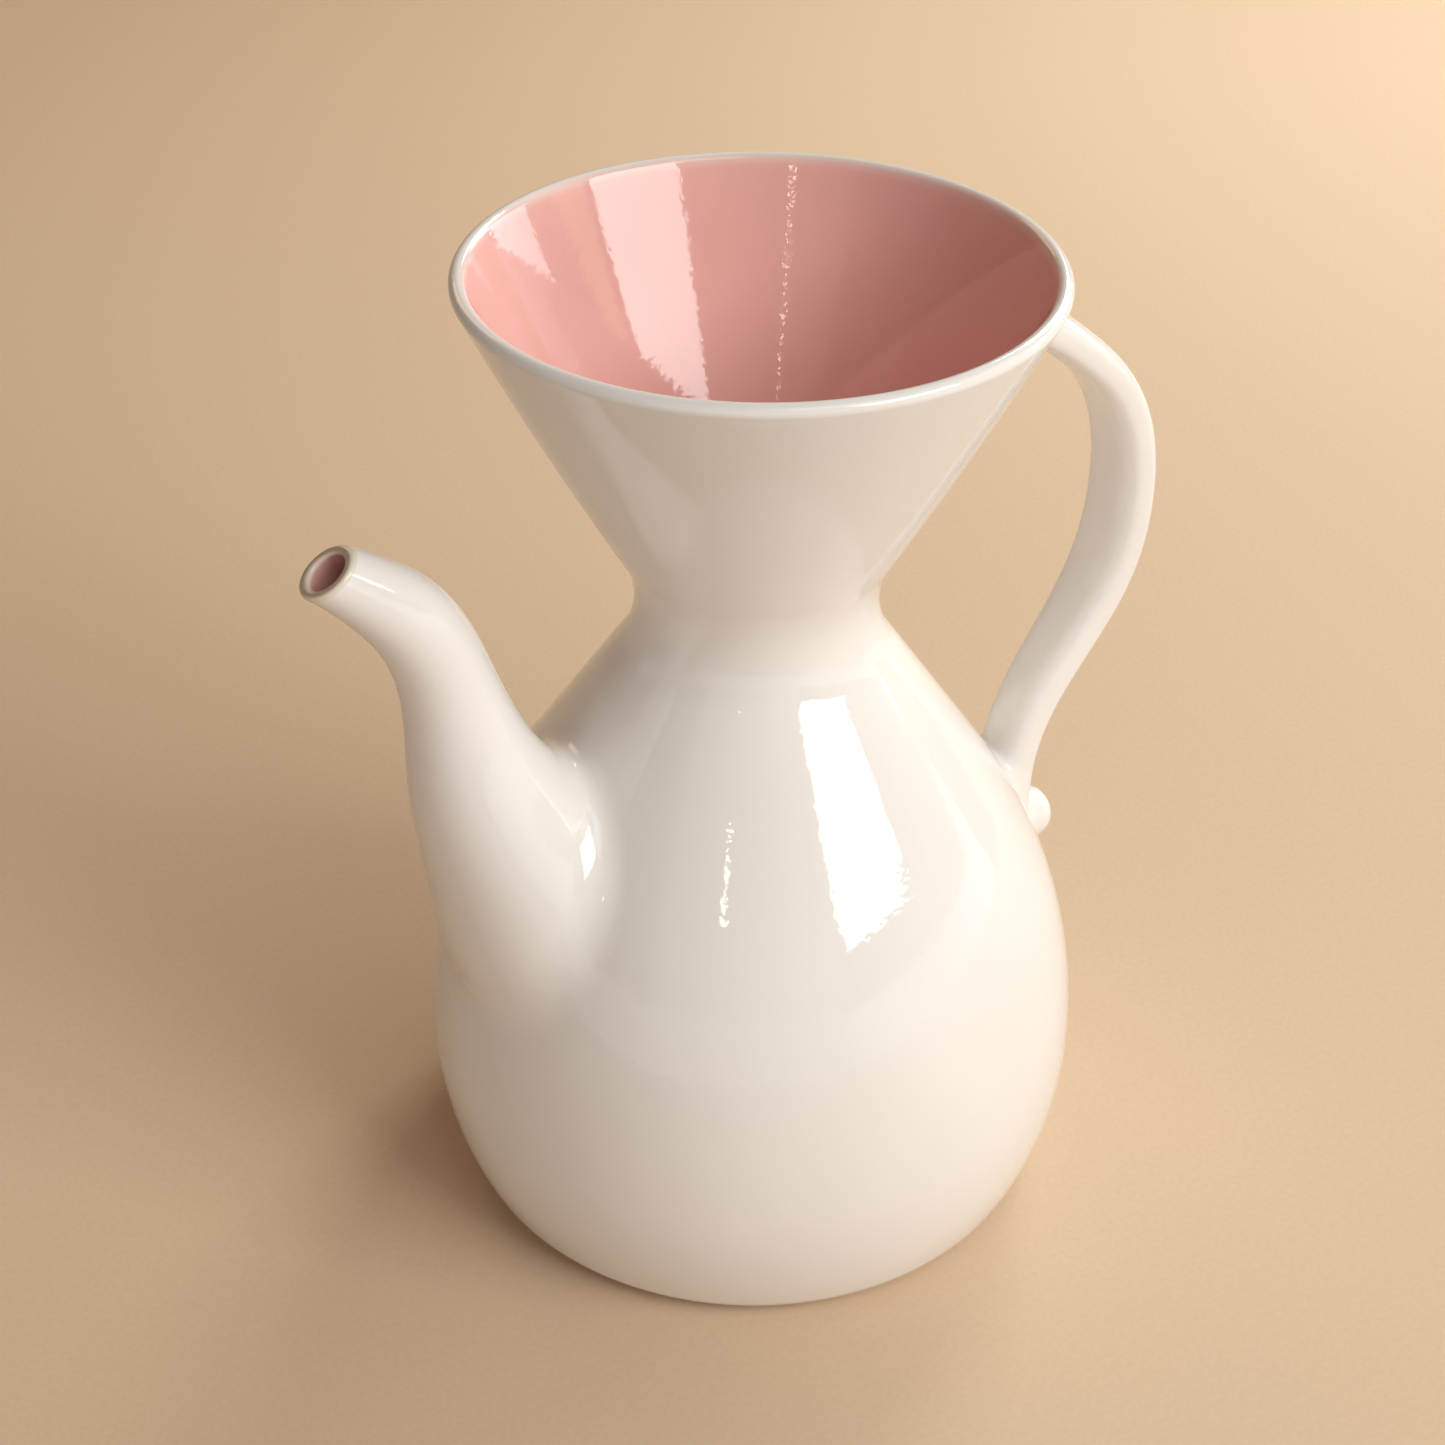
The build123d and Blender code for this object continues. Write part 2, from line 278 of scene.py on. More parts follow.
# ------------------------------------------------------------------ centre lines
class Walk:
    """An even walk along a cubic spline through points of the XZ plane."""

    def __init__(self, points, first=None, last=None, count=1501):
        points = np.array(points, float)
        walk = self.spline(points, first, last)
        length = np.concatenate([[0], np.cumsum(np.linalg.norm(np.diff(walk, axis=0), axis=1))])
        even = np.linspace(0, length[-1], count)
        self.length = length[-1]
        self.share = np.linspace(0, 1, count)
        self.points = np.stack([np.interp(even, length, walk[:, axis]) for axis in (0, 1)], 1)
        tangent = np.gradient(self.points, axis=0)
        self.tangents = tangent / np.linalg.norm(tangent, axis=1)[:, None]
        turn = np.gradient(self.tangents, axis=0) * (count - 1) / self.length
        self.curve = self.tangents[:, 0] * turn[:, 1] - self.tangents[:, 1] * turn[:, 0]

    @staticmethod
    def spline(points, first, last, pieces=200):
        """Points of the spline, with its directions at the ends where they are given."""
        step = np.linalg.norm(np.diff(points, axis=0), axis=1)
        slope = np.diff(points, axis=0) / step[:, None]
        size = len(points)
        matrix = np.zeros((size, size))
        right = np.zeros((size, 2))
        for i in range(1, size - 1):
            matrix[i, i - 1:i + 2] = [step[i], 2 * (step[i - 1] + step[i]), step[i - 1]]
            right[i] = 3 * (step[i] * slope[i - 1] + step[i - 1] * slope[i])
        matrix[0, :2], right[0] = ([2, 1], 3 * slope[0]) if first is None else ([1, 0], first)
        matrix[-1, -2:], right[-1] = ([1, 2], 3 * slope[-1]) if last is None else ([0, 1], last)
        tangent = np.linalg.solve(matrix, right)
        t = np.linspace(0, 1, pieces, endpoint=False)[:, None]
        walk = [(1 + 2 * t) * (1 - t) ** 2 * points[i] + t * (1 - t) ** 2 * step[i] * tangent[i]
                + t ** 2 * (3 - 2 * t) * points[i + 1] + t ** 2 * (t - 1) * step[i] * tangent[i + 1]
                for i in range(size - 1)]
        return np.vstack(walk + [points[-1:]])

    def at(self, share):
        """Centres and directions at shares of the length."""
        centre = [np.interp(share, self.share, self.points[:, axis]) for axis in (0, 1)]
        tangent = [np.interp(share, self.share, self.tangents[:, axis]) for axis in (0, 1)]
        return centre, tangent

    def place(self, x, z):
        """The share nearest to points of the plane, the height above the line and the way past its ends."""
        x, z = np.broadcast_arrays(x, z)
        flat = np.stack([x.ravel(), z.ravel()], 1)
        # The nearest of a few points of the line is the start for steps along the tangent.
        stride = 15
        sparse = self.points[::stride]
        nearest = np.concatenate([
            np.argmin(((part[:, None] - sparse[None]) ** 2).sum(2), 1)
            for part in np.array_split(flat, len(flat) // 20000 + 1)])
        share = self.share[::stride][nearest]
        for _ in range(5):
            centre, tangent = self.at(share)
            gap_x, gap_z = flat[:, 0] - centre[0], flat[:, 1] - centre[1]
            along = gap_x * tangent[0] + gap_z * tangent[1]
            high = gap_z * tangent[0] - gap_x * tangent[1]
            stretch = np.maximum(1 - np.interp(share, self.share, self.curve) * high, 0.3)
            moved = np.clip(share + along / stretch / self.length, 0, 1)
            beyond = np.where(moved == share, along, 0)
            share = moved
        return share.reshape(x.shape), high.reshape(x.shape), beyond.reshape(x.shape)


# ------------------------------------------------------------------ fields: distances that can be blended
def smooth_step(part):
    """Runs smoothly from 0 to 1 while the part does."""
    return part ** 2 * (3 - 2 * part)


def smooth_min(a, b, blend):
    """The smaller of two distances, rounded where they are within the blend of each other."""
    near = np.maximum(blend - np.abs(a - b), 0)
    return np.minimum(a, b) - near ** 2 / (4 * blend)


def gradient(field, points, step=0.05):
    """The direction in which a field grows."""
    slopes = []
    for axis in range(3):
        shift = np.zeros(3)
        shift[axis] = step
        slopes.append((field(*(points + shift).T) - field(*(points - shift).T)) / (2 * step))
    return np.stack(slopes, 1)


def settle(field, points, rounds=3):
    """Moves points straight onto the surface where a field is zero, and gives its normals there."""
    for _ in range(rounds):
        slope = gradient(field, points)
        size = np.maximum((slope ** 2).sum(1), 0.05)
        points = points - (field(*points.T) / size)[:, None] * slope
    return points, normalised(gradient(field, points))


def normalised(vectors):
    """The same directions with a length of 1."""
    return vectors / np.maximum(np.linalg.norm(vectors, axis=-1), 1e-12)[..., None]


# ------------------------------------------------------------------ meshes
def make_object(name, vertices, faces, corners, material, nodes):
    """A smooth closed mesh that rides on the pot and stands for CAD nodes.

    faces and corners are lists of arrays: vertex numbers, and a normal for each corner."""
    # A negative volume means that the faces look inward.
    volume = 0.0
    for face in faces:
        for i in range(1, face.shape[1] - 1):
            across = np.cross(vertices[face[:, i]], vertices[face[:, i + 1]])
            volume += float((vertices[face[:, 0]] * across).sum())
    if volume < 0:
        faces = [face[:, ::-1] for face in faces]
        corners = [corner[:, ::-1] for corner in corners]
    # Each corner's normal is put on the side that its face looks to.
    turned = []
    for face, corner in zip(faces, corners):
        points = vertices[face]
        outward = np.cross(points[:, 2] - points[:, 0], points[:, -1] - points[:, 1])
        sign = np.where((corner * outward[:, None]).sum(2) < 0, -1.0, 1.0)
        turned.append((corner * sign[..., None]).reshape(-1, 3))
    mesh = bpy.data.meshes.new(name)
    mesh.from_pydata((vertices * MM).tolist(), [], [ring for face in faces for ring in face.tolist()])
    mesh.polygons.foreach_set("use_smooth", [True] * len(mesh.polygons))
    mesh.normals_split_custom_set(np.vstack(turned).tolist())
    mesh.materials.append(material)
    piece = bpy.data.objects.new(name, mesh)
    bpy.context.scene.collection.objects.link(piece)
    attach(piece, "root")
    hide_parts(*nodes)


def ring_stack(name, bands, material, nodes, loop=True):
    """A closed mesh from bands of rings, each a grid of points with a grid of normals.

    A band begins on the last ring of the band before it. With loop the last ring is also
    the first; otherwise the stack begins and ends at points."""
    vertices = []
    total = 0
    first_ids = last_ids = None
    quads = []
    quad_normals = []
    for number, (points, normals) in enumerate(bands):
        ids = np.empty(points.shape[:2], int)
        for row, ring in enumerate(points):
            if number and row == 0:
                ids[row] = last_ids
            elif loop and number == len(bands) - 1 and row == len(points) - 1:
                ids[row] = first_ids
            else:
                new = ring[:1] if np.ptp(ring, axis=0).max() < 1e-6 else ring
                ids[row] = total + np.arange(len(ring)) % len(new)
                vertices.append(new)
                total += len(new)
        first_ids = ids[0] if first_ids is None else first_ids
        last_ids = ids[-1]
        for grid, kept in ((ids, quads), (normals, quad_normals)):
            ahead = np.roll(grid, -1, 1)
            corners = np.stack([grid[:-1], ahead[:-1], ahead[1:], grid[1:]], 2)
            kept.append(corners.reshape(-1, *corners.shape[2:]))
    quads = np.vstack(quads)
    quad_normals = np.vstack(quad_normals)
    # A quad that touches an end point is only a triangle.
    low_point = quads[:, 0] == quads[:, 1]
    high_point = quads[:, 2] == quads[:, 3]
    whole = ~(low_point | high_point)
    faces, corners = [
        [grid[whole], grid[low_point][:, [0, 2, 3]], grid[high_point][:, [0, 1, 2]]]
        for grid in (quads, quad_normals)]
    make_object(name, np.vstack(vertices), faces, corners, material, nodes)


def turned_piece(name, runs, material, nodes, loop=True):
    """A solid of revolution from runs of outline points with their normals."""
    spin = unit(np.linspace(0, 2 * pi, around, endpoint=False))
    bands = []
    for run in runs:
        points = np.concatenate([run[:, None, :1] * spin[None], np.repeat(run[:, None, 1:2], around, 1)], 2)
        normals = np.concatenate([run[:, None, 2:3] * spin[None], np.repeat(run[:, None, 3:4], around, 1)], 2)
        bands.append((points, normals))
    ring_stack(name, bands, material, nodes, loop)


def grid_normals(points):
    """Normals of a grid of points whose rows are rings."""
    down = np.gradient(points, axis=0)
    across = np.roll(points, -1, 1) - np.roll(points, 1, 1)
    return normalised(np.cross(across, down))


def with_normals(grids):
    """Grids of points, each with its grid of normals."""
    return [(points, grid_normals(points)) for points in grids]


def surface_net(field, low, high, step):
    """A closed mesh of quads where a field on a regular grid changes sign."""
    axes = [np.arange(low[i], high[i] + step, step) for i in range(3)]
    value = field(axes[0][:, None, None], axes[1][None, :, None], axes[2][None, None, :])
    grid = np.stack(np.meshgrid(*axes, indexing="ij"), -1)
    cells = tuple(n - 1 for n in value.shape)
    # Each cell's point is the middle of the places where the surface crosses the cell's edges.
    total = np.zeros(cells + (3,))
    count = np.zeros(cells)
    halves = [slice(None, -1), slice(1, None)]
    for axis in range(3):
        for first in (0, 1):
            for second in (0, 1):
                here = [None] * 3
                here[axis] = halves[0]
                here[(axis + 1) % 3] = halves[first]
                here[(axis + 2) % 3] = halves[second]
                there = list(here)
                there[axis] = halves[1]
                a, b = value[tuple(here)], value[tuple(there)]
                crosses = (a < 0) != (b < 0)
                part = np.where(crosses, a / np.where(crosses, a - b, 1), 0)[..., None]
                point = grid[tuple(here)] + part * (grid[tuple(there)] - grid[tuple(here)])
                total += np.where(crosses[..., None], point, 0)
                count += crosses
    used = count > 0
    index = np.full(cells, -1)
    index[used] = np.arange(used.sum())
    # Each edge that the surface crosses gives a quad of the four cells round it.
    faces = []
    inside = value < 0
    for axis in range(3):
        before = [slice(None)] * 3
        after = [slice(None)] * 3
        before[axis], after[axis] = halves
        change = np.argwhere(inside[tuple(before)] != inside[tuple(after)])
        ring = []
        for first, second in ((0, 0), (1, 0), (1, 1), (0, 1)):
            cell = change.copy()
            cell[:, (axis + 1) % 3] -= first
            cell[:, (axis + 2) % 3] -= second
            ring.append(index[tuple(cell.T)])
        ring = np.stack(ring, 1)
        leaving = inside[tuple(before)][tuple(change.T)]
        faces.append(np.where(leaving[:, None], ring, ring[:, ::-1]))
    return total[used] / count[used][:, None], np.vstack(faces)


# ------------------------------------------------------------------ handle
handle_walk = Walk(handle_line)


def strap_field(x, y, z):
    """Distance from the strap of the handle, which narrows towards its lower end."""
    share, high, beyond = handle_walk.place(x, z)
    thick = handle_half_thick
    part = np.clip((share - handle_narrowing_start) / handle_narrowing_reach, 0, 1)
    wide = handle_half_wide * (1 - handle_narrowing * smooth_step(part))
    p = handle_squareness
    a, b, c = np.abs(high / thick), np.abs(y / wide), np.abs(beyond / thick)
    size = np.maximum((a ** p + b ** p + c ** p) ** (1 / p), 1e-6)
    slope = np.sqrt((a ** (p - 1) / thick) ** 2 + (b ** (p - 1) / wide) ** 2 + (c ** (p - 1) / thick) ** 2)
    return (size - 1) / np.maximum(slope / size ** (p - 1), 0.5 / handle_half_wide)


def handle_field(x, y, z):
    """Distance from the strap and the knob that ends it."""
    size = np.sqrt(((x - knob_centre[0]) / knob_half_sizes[0]) ** 2 + (y / knob_half_sizes[1]) ** 2
                   + ((z - knob_centre[1]) / knob_half_sizes[2]) ** 2)
    knob = (size - 1) * knob_half_sizes[0]
    return smooth_min(strap_field(x, y, z), knob, knob_blend)


def handle_skin(x, y, z):
    """The handle run smoothly into the body, where it ends just under the body's own surface."""
    limb = handle_field(x, y, z)
    body = body_distance(x, y, z)[0]
    dip = handle_dip * np.clip((limb / handle_blend - 0.8) / 0.4, 0, 1)
    return smooth_min(limb, body, handle_blend) + dip


def handle_solid(x, y, z):
    """The skin, cut off inside the wall of the body and away from the handle."""
    limb = handle_field(x, y, z)
    body = body_distance(x, y, z)[0]
    return np.maximum(np.maximum(handle_skin(x, y, z), limb - handle_trim), -handle_sink - body)


def make_handle(material):
    """The strap handle with its knob, run smoothly into the body at both ends."""
    reach = handle_half_wide + handle_trim + 1
    low = (handle_box_low[0], -reach, handle_box_low[1])
    high = (handle_box_high[0], reach, handle_box_high[1])
    points, faces = surface_net(handle_solid, low, high, net_step)
    normals = normalised(gradient(handle_solid, points, 0.1))
    # The points that can be seen are moved from the net exactly onto the smooth skin.
    shown = (body_distance(*points.T)[0] > -0.5) & (handle_field(*points.T) < handle_blend * 1.03)
    points[shown], normals[shown] = settle(handle_skin, points[shown])
    make_object("handle_with_seams", points, [faces], [normals[faces]], material,
                ["handle", "handle_upper_luting", "handle_lower_luting", "handle_terminal"])


# ------------------------------------------------------------------ spout
mouth_rise = radians(spout_mouth_rise)
root_direction = normalised(np.subtract(spout_line[-1], spout_line[-2]))
spout_walk = Walk(spout_line, (cos(mouth_rise), -sin(mouth_rise)), root_direction)
lip_share = spout_lip_length / spout_walk.length
column_angles = np.linspace(0, 2 * pi, spout_columns, endpoint=False)


def flare_part(share):
    """How much of the root's flare there is at a share of the line's length."""
    return smooth_step(np.clip((share - spout_flare_start) / spout_flare_reach, 0, 1))


def spout_radius(share):
    """The outer radius at a share of the line's length."""
    swell = spout_swell * np.sin(pi * np.clip(share / spout_swell_reach, 0, 1)) ** 2
    return spout_tip_radius + swell + spout_taper * share + spout_flare * flare_part(share)


def spout_ring(share, angle, inset=0.0):
    """Points of the spout's surface. Near the mouth the rings lean over, to lie along its slanting cut."""
    (x, z), (along_x, along_z) = spout_walk.at(share)
    radius = spout_radius(share) - inset
    high = radius * np.cos(angle)
    fade = smooth_step(np.clip(1 - share / spout_cut_reach, 0, 1))
    lean = tan(radians(spout_mouth_cut - spout_mouth_rise)) * fade * high
    wide = radius * (1 + spout_widening * flare_part(share)) * np.sin(angle)
    return np.stack([x + along_x * lean - along_z * high, wide, z + along_z * lean + along_x * high], -1)


def spout_field(x, y, z):
    """Distance from the outside of the spout."""
    share, high, _ = spout_walk.place(x, z)
    return np.hypot(high, y / (1 + spout_widening * flare_part(share))) - spout_radius(share)


def spout_blend(z):
    """How far the root runs out into the belly at a height."""
    return np.interp(z, spout_root_heights, spout_blends)


def spout_skin(x, y, z):
    """The outside of the spout run smoothly into the body."""
    return smooth_min(spout_field(x, y, z), body_distance(x, y, z)[0], spout_blend(z))


def spout_rows(first, last, rows, inset=0.0):
    """Rings from a share to a share, which may differ from column to column."""
    step = np.linspace(0, 1, rows)[:, None]
    share = first + (last - first) * step * np.ones((1, spout_columns))
    return spout_ring(share, column_angles[None] + 0 * step, inset)


def crossing(share, distance):
    """For each column, the last share at which the distance is still above zero."""
    index = len(share) - 1 - np.argmax((distance > 0)[::-1], axis=0)
    index = np.minimum(index, len(share) - 2)
    column = np.arange(distance.shape[1])
    high, low = distance[index, column], distance[index + 1, column]
    part = np.clip(high / np.where(high > low, high - low, 1), 0, 1)
    return share[index] + part * (share[index + 1] - share[index])


def root_rows(rows=30):
    """Rings that leave the spout where the blend begins and reach the body where it ends."""
    # Where each column enters the blend, and where it would meet the bare body.
    share = np.linspace(0.2, 1.0, 500)
    surface = spout_ring(share[:, None], column_angles[None])
    distance = body_distance(*np.moveaxis(surface, -1, 0))[0]
    leave = crossing(share, distance - spout_blend(surface[..., 2]))
    meet = crossing(share, distance)
    start = spout_ring(leave, column_angles)
    start_way = normalised(spout_ring(leave + 0.002, column_angles) - start)
    # A path over the body from there, straight away from the spout.
    corner = spout_ring(meet, column_angles)
    body_out = body_distance(*corner.T)[1]
    along_corner = np.roll(corner, -1, 0) - np.roll(corner, 1, 0)
    away = normalised(np.cross(along_corner, body_out))
    centre = corner.mean(0)
    away *= np.sign((away * (corner - centre)).sum(1))[:, None]
    reach = np.linspace(0, 3 * max(spout_blends), 80)
    path = corner[None] + reach[:, None, None] * away[None]
    for _ in range(3):
        gap, out = body_distance(*np.moveaxis(path, -1, 0))
        path = path - gap[..., None] * out
    # The place on the path where the blend has ended.
    clear = spout_field(*np.moveaxis(path, -1, 0)) - 1.01 * spout_blend(path[..., 2])
    index = np.clip(np.argmax(clear > 0, axis=0), 1, len(reach) - 1)
    column = np.arange(spout_columns)
    before, after = clear[index - 1, column], clear[index, column]
    part = (-before / np.maximum(after - before, 1e-6))[:, None]
    end = path[index - 1, column] + part * (path[index, column] - path[index - 1, column])
    gap, end_out = body_distance(*end.T)
    end = end - gap[:, None] * end_out
    end_way = normalised(path[index, column] - path[index - 1, column])
    # A cubic curve from the spout to that place, in line with both.
    chord = np.linalg.norm(end - start, axis=1)[:, None]
    t = np.linspace(0, 1, rows)[:, None, None]
    return leave, ((1 + 2 * t) * (1 - t) ** 2 * start + t * (1 - t) ** 2 * chord * start_way
                   + t ** 2 * (3 - 2 * t) * end + t ** 2 * (t - 1) * chord * end_way)


def make_spout(material):
    """The curved spout, run smoothly into the belly, with its bore."""
    leave, root = root_rows()
    tube = spout_rows(lip_share, leave, 90)
    rows = np.vstack([tube, root[1:]])
    skin, normals = settle(spout_skin, rows.reshape(-1, 3))
    skin, normals = skin.reshape(rows.shape), normals.reshape(rows.shape)
    skin[0] = tube[0]
    # From the skin's edge into the wall, across to the bore and back up to the lip.
    under = skin[-1] - spout_sink * normals[-1]
    bore = spout_rows(spout_bore_end, lip_share, 60, spout_clay)
    inside = [np.stack([skin[-1], under]), np.stack([under, bore[0]]), bore, np.stack([bore[-1], skin[0]])]
    bands = [(skin, normals), *with_normals(inside)]
    ring_stack("spout_with_seam", bands, material, ["spout", "spout_luting"])


def make_spout_lining(material):
    """The pink glaze inside the spout."""
    outer = spout_rows(lip_share, spout_lining_end, 60, spout_clay + 0.01)
    inner = spout_rows(spout_lining_end, lip_share, 60, spout_wall)
    parts = [outer, np.stack([outer[-1], inner[0]]), inner, np.stack([inner[-1], outer[0]])]
    ring_stack("spout_lining", with_normals(parts), material, ["spout_lining"])


def make_spout_lip(material):
    """The rounded bare lip at the mouth of the spout."""
    turn = np.linspace(0, pi / 2, 10)
    outer_round = 0.8
    inner_round = 0.9
    depth = np.concatenate([[spout_lip_length], outer_round * (1 - np.sin(turn)),
                            inner_round * (1 - np.cos(turn)), [spout_lip_length]])
    inset = np.concatenate([[0], outer_round * (1 - np.cos(turn)),
                            spout_wall - inner_round * (1 - np.sin(turn)), [spout_wall]])
    rings = spout_ring(depth[:, None] / spout_walk.length, column_angles[None], inset[:, None])
    back = np.stack([rings[-1], rings[0]])
    ring_stack("spout_lip", with_normals([rings, back]), material, ["spout_lip"])


# ------------------------------------------------------------------ turned pieces
def belly_runs(inset, count=40):
    """From the heel to the foot of the waist curve."""
    low = polar(upper_centre, belly_upper_radius - inset, shoulder_normal)
    high = polar(waist_centre, waist_curve_radius + inset, shoulder_normal + pi)
    return [lower_belly.run(inset, count // 2), upper_belly.run(inset, count),
            line_run(low, high, count // 3)]


def coat_floor(inset):
    """The flat inside of the pot, from the axis out to the heel."""
    return line_run((0, inset), (heel_centre[0], inset), 3)


def make_foot_ring(material):
    """The bare ring that the pot stands on."""
    ring_inside = foot_radius - foot_width
    turned_piece("foot_ring", [
        line_run((ring_inside, 0), (foot_radius - foot_edge, 0), 3),
        Arc((foot_radius - foot_edge, foot_edge), foot_edge, -pi / 2, 0).run(0, 6),
        line_run((foot_radius, foot_edge), (foot_radius, foot_thickness), 2),
        line_run((foot_radius, foot_thickness), (ring_inside, foot_thickness), 2),
        line_run((ring_inside, foot_thickness), (ring_inside, 0), 2)], material, ["foot_ring"])


def make_belly(material):
    """The round body with its shoulder, open at the waist."""
    heel_start = asin((heel_gap - heel_centre[1]) / heel_radius)
    outer = belly_runs(0, 80)
    inner = [inward(run) for run in reversed(belly_runs(clay_wall))]
    turned_piece("belly", [
        line_run((0, foot_thickness), (foot_radius, foot_thickness), 4),
        line_run((foot_radius, foot_thickness), (foot_radius, heel_gap), 2),
        line_run((foot_radius, heel_gap), polar(heel_centre, heel_radius, heel_start), 2),
        heel.part(heel_start, heel_angle).run(0, 16),
        *outer,
        line_run(outer[-1][-1, :2], inner[0][0, :2], 2),
        *inner,
        inward(heel.run(clay_wall, 8)),
        inward(coat_floor(clay_wall))], material, ["belly"], loop=False)


def make_wall(name, arc, inset, far_inset, material, count=60):
    """A ring of wall between two insets of one arc."""
    outside = arc.run(inset, count)
    inside = inward(arc.run(far_inset, count))
    turned_piece(name, [outside, line_run(outside[-1, :2], inside[0, :2], 2), inside,
                        line_run(inside[-1, :2], outside[0, :2], 2)], material, [name])


def make_rim(material):
    """The rim: a short band with a full round edge."""
    band = funnel_side.part(band_start, side_high)
    outside = band.run(0, 4)
    inside = inward(band.run(full_wall, 4))
    turned_piece("rim", [outside, lip.run(0, 25), inside, line_run(inside[-1, :2], outside[0, :2], 2)],
                 material, ["rim"])


def coat_runs(inset):
    """One side of the coat inside the pot, from the axis up to the top of the waist."""
    return [coat_floor(inset), heel.run(inset, 8), *belly_runs(inset), waist.run(inset, 20)]


def make_belly_lining(material):
    """The coat of pink glaze inside the belly and the waist."""
    outer = coat_runs(clay_wall)
    inner = [inward(run) for run in reversed(coat_runs(full_wall))]
    throat = line_run(outer[-1][-1, :2], inner[0][0, :2], 2)
    turned_piece("belly_lining", [*outer, throat, *inner], material, ["belly_lining"], loop=False)


# ------------------------------------------------------------------ materials
def new_material(name, slot):
    """A material with its node tree and its shader; the slot is kept for the pieces that wear it."""
    material = bpy.data.materials.new(name)
    material.use_nodes = True
    material["slot"] = slot
    tree = material.node_tree
    return material, tree, tree.nodes["Principled BSDF"]


def noise(tree, vector, scale, detail=2.0):
    """Cloudy noise with this many waves to the metre."""
    node = tree.nodes.new("ShaderNodeTexNoise")
    node.inputs["Scale"].default_value = scale
    node.inputs["Detail"].default_value = detail
    node.inputs["Roughness"].default_value = 0.5
    tree.links.new(vector, node.inputs["Vector"])
    return node.outputs["Fac"]


def ramp(tree, source, stops):
    """A colour ramp from (place, colour) stops."""
    stops = list(stops)
    node = tree.nodes.new("ShaderNodeValToRGB")
    while len(node.color_ramp.elements) < len(stops):
        node.color_ramp.elements.new(0.5)
    for element, (place, colour) in zip(node.color_ramp.elements, stops):
        element.position = place
        element.color = (*colour, 1)
    tree.links.new(source, node.inputs["Fac"])
    return node.outputs["Color"]


def tinted(tree, source, tints):
    """A tint that drifts between two colours."""
    return ramp(tree, source, [(0.3, tints[0]), (0.7, tints[1])])


def bump(tree, height, distance, normal=None):
    """A bump of this depth in metres, on top of another normal where one is given."""
    node = tree.nodes.new("ShaderNodeBump")
    node.inputs["Strength"].default_value = 1.0
    node.inputs["Distance"].default_value = distance
    tree.links.new(height, node.inputs["Height"])
    if normal is not None:
        tree.links.new(normal, node.inputs["Normal"])
    return node.outputs["Normal"]


def object_vector(tree):
    """The place on the object, in metres."""
    return tree.nodes.new("ShaderNodeTexCoord").outputs["Object"]


def glaze_surface(tree, shader, roughness=0.04):
    """The slow waviness and the fine orange peel of fired glaze."""
    vector = object_vector(tree)
    slow = bump(tree, noise(tree, vector, wave_scale), wave_depth)
    peel = bump(tree, noise(tree, vector, peel_scale, 1.0), peel_depth, slow)
    tree.links.new(peel, shader.inputs["Normal"])
    shader.inputs["Roughness"].default_value = roughness
    shader.inputs["IOR"].default_value = 1.5
    return vector


def white_glaze():
    """Warm white porcelain under a clear glossy glaze."""
    material, tree, shader = new_material("white_glaze", "white_glaze")
    vector = glaze_surface(tree, shader)
    tint = tinted(tree, noise(tree, vector, 22.0), white_tints)
    tree.links.new(tint, shader.inputs["Base Color"])
    return material


def pink_glaze():
    """Dusty pink glaze, a little uneven in depth."""
    material, tree, shader = new_material("pink_glaze", "pink_glaze")
    vector = glaze_surface(tree, shader, 0.07)
    tint = tinted(tree, noise(tree, vector, 30.0), pink_tints)
    tree.links.new(tint, shader.inputs["Base Color"])
    return material


def rim_glaze():
    """White over the rim, running into pink on its inner side."""
    material, tree, shader = new_material("rim_glaze", "white_glaze")
    vector = glaze_surface(tree, shader)
    level = tree.nodes.new("ShaderNodeVectorMath")
    level.operation = "MULTIPLY"
    level.inputs[1].default_value = (1, 1, 0)
    tree.links.new(vector, level.inputs[0])
    radius = tree.nodes.new("ShaderNodeVectorMath")
    radius.operation = "LENGTH"
    tree.links.new(level.outputs["Vector"], radius.inputs[0])
    sway = tree.nodes.new("ShaderNodeMath")
    sway.operation = "MULTIPLY_ADD"
    sway.inputs[1].default_value = 0.0004
    tree.links.new(noise(tree, vector, 60.0), sway.inputs[0])
    tree.links.new(radius.outputs["Value"], sway.inputs[2])
    place = tree.nodes.new("ShaderNodeMapRange")
    place.inputs["From Min"].default_value = (lip_centre[0] - rim_pink_edge) * MM
    place.inputs["From Max"].default_value = (lip_centre[0] - rim_white_edge) * MM
    tree.links.new(sway.outputs["Value"], place.inputs["Value"])
    tint = ramp(tree, place.outputs["Result"], zip((0.0, 0.5, 1.0), rim_tints))
    tree.links.new(tint, shader.inputs["Base Color"])
    return material


def bare_clay():
    """Tan clay where the glaze was wiped off the foot."""
    material, tree, shader = new_material("bare_clay", "bare_clay")
    vector = glaze_surface(tree, shader, 0.25)
    tint = tinted(tree, noise(tree, vector, 400.0, 4.0), clay_tints)
    tree.links.new(tint, shader.inputs["Base Color"])
    return material


